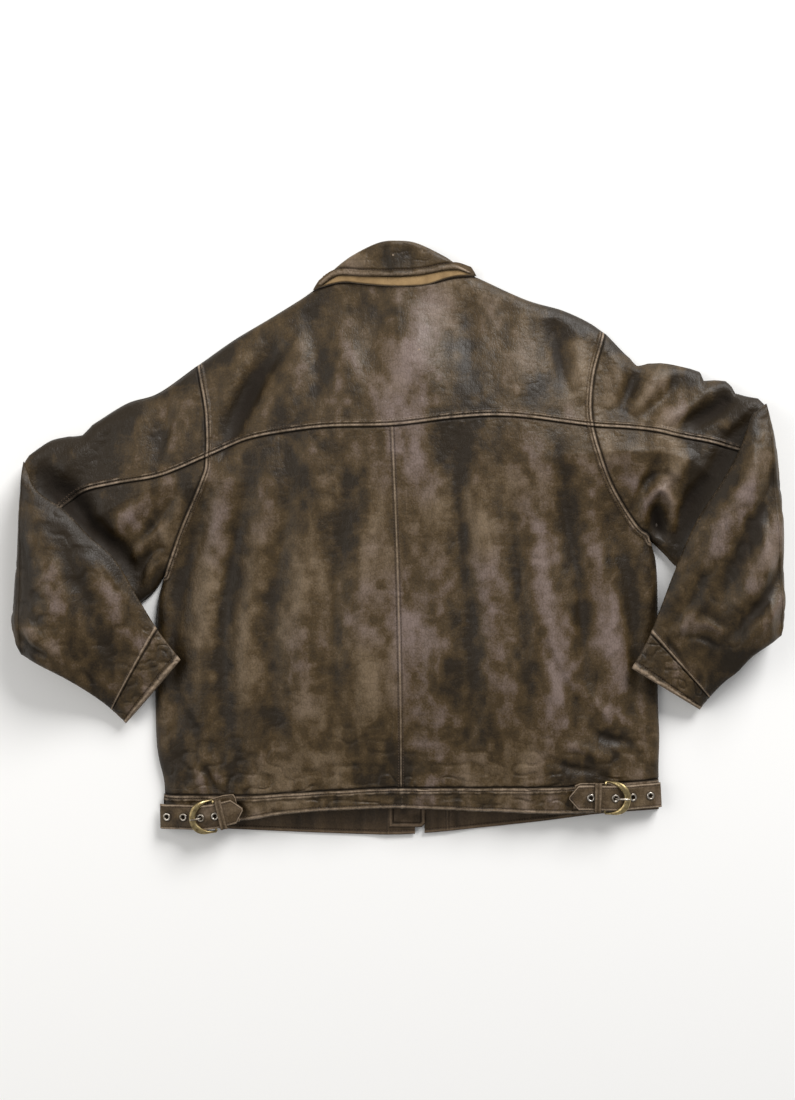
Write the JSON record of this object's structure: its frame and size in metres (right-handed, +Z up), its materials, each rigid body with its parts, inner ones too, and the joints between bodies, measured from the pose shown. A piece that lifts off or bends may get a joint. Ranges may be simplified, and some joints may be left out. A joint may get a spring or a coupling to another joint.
{
  "type": "leather riding jacket",
  "caption": "Brown leather riding jacket laid face down, forearms folded over the upper arms, with a turned-down collar, waist adjusters with D buckles and a front zip.",
  "frame": {"origin": "bottom centre of the bounding box of the jacket as laid face down", "axes": "+Z up out of the jacket's back, +Y from the hem to the collar, +X towards the wearer's right arm"},
  "size_m": [1.0129, 0.7816, 0.0736],
  "materials": {
    "brown_leather": "worn satin leather",
    "tan_suede": "suede",
    "lining_cloth": "smooth cloth",
    "zip_cloth": "woven tape",
    "antique_brass": "worn antique plating"
  },
  "bodies": {
    "shell": {"back_yoke": "brown_leather", "back_panel_left": "brown_leather", "back_panel_right": "brown_leather", "back_hem_band": "brown_leather", "front_panel_left": "brown_leather", "front_panel_right": "brown_leather", "front_hem_band_left": "brown_leather", "front_hem_band_right": "brown_leather", "back_lining": "lining_cloth", "front_lining_left": "lining_cloth", "front_lining_right": "lining_cloth", "collar_front_left": "brown_leather", "collar_front_right": "brown_leather", "hanger_loop": "brown_leather", "zip_tape_left": "zip_cloth", "zip_tape_right": "zip_cloth", "zip_teeth_left": "antique_brass", "zip_teeth_right": "antique_brass", "zip_guard": "brown_leather", "left_under_sleeve_upper": "brown_leather", "left_top_sleeve_upper": "brown_leather", "left_sleeve_lining_upper": "lining_cloth", "left_elbow": "brown_leather", "left_adjuster_strap": "brown_leather", "left_buckle_anchor": "brown_leather", "left_strap_keeper": "brown_leather", "left_eyelet_1": "antique_brass", "left_eyelet_2": "antique_brass", "left_eyelet_3": "antique_brass", "left_eyelet_4": "antique_brass", "right_under_sleeve_upper": "brown_leather", "right_top_sleeve_upper": "brown_leather", "right_sleeve_lining_upper": "lining_cloth", "right_elbow": "brown_leather", "right_adjuster_strap": "brown_leather", "right_buckle_anchor": "brown_leather", "right_strap_keeper": "brown_leather", "right_eyelet_1": "antique_brass", "right_eyelet_2": "antique_brass", "right_eyelet_3": "antique_brass", "right_eyelet_4": "antique_brass"},
    "left_forearm": {"left_top_sleeve_forearm": "brown_leather", "left_under_sleeve_forearm": "brown_leather", "left_cuff": "brown_leather", "left_sleeve_lining_forearm": "lining_cloth"},
    "right_forearm": {"right_top_sleeve_forearm": "brown_leather", "right_under_sleeve_forearm": "brown_leather", "right_cuff": "brown_leather", "right_sleeve_lining_forearm": "lining_cloth"},
    "collar": {"collar_stand": "brown_leather", "undercollar": "tan_suede", "collar_leaf": "brown_leather"},
    "left_buckle": {"left_buckle_frame": "antique_brass", "left_buckle_prong": "antique_brass"},
    "right_buckle": {"right_buckle_frame": "antique_brass", "right_buckle_prong": "antique_brass"},
    "zip_slider": {"zip_slider": "antique_brass"},
    "zip_pull": {"zip_pull": "antique_brass"}
  },
  "joints": [
    {"name": "left_elbow_fold", "type": "hinge", "parent": "shell", "child": "left_forearm", "pos_m": [-0.4875, -0.02, 0.0377], "axis": [-0.012, -0.9999, 0], "range_deg": [0, 175], "deforming": ["left_elbow"]},
    {"name": "right_elbow_fold", "type": "hinge", "parent": "shell", "child": "right_forearm", "pos_m": [0.4875, 0.025, 0.0377], "axis": [-0.0628, 0.998, 0], "range_deg": [0, 175], "deforming": ["right_elbow"]},
    {"name": "collar_lift", "type": "hinge", "parent": "shell", "child": "collar", "pos_m": [-0.0045, 0.338, 0.024], "axis": [0.9965, 0.0834, 0], "range_deg": [0, 80]},
    {"name": "left_buckle_rock", "type": "hinge", "parent": "shell", "child": "left_buckle", "pos_m": [-0.24111, -0.36323, 0.02379], "axis": [-0.128, 0.9918, 0], "range_deg": [0, 4]},
    {"name": "right_buckle_rock", "type": "hinge", "parent": "shell", "child": "right_buckle", "pos_m": [0.27204, -0.33928, 0.02452], "axis": [-0.0238, -0.9997, 0], "range_deg": [0, 4]},
    {"name": "zip_slide", "type": "slide", "parent": "shell", "child": "zip_slider", "axis": [0, -1, 0], "range_m": [0, 0.58]},
    {"name": "zip_pull_swing", "type": "hinge", "parent": "zip_slider", "child": "zip_pull", "pos_m": [0.03, 0.236, 0.001], "axis": [1, 0, 0], "range_deg": [0, 130]}
  ]
}
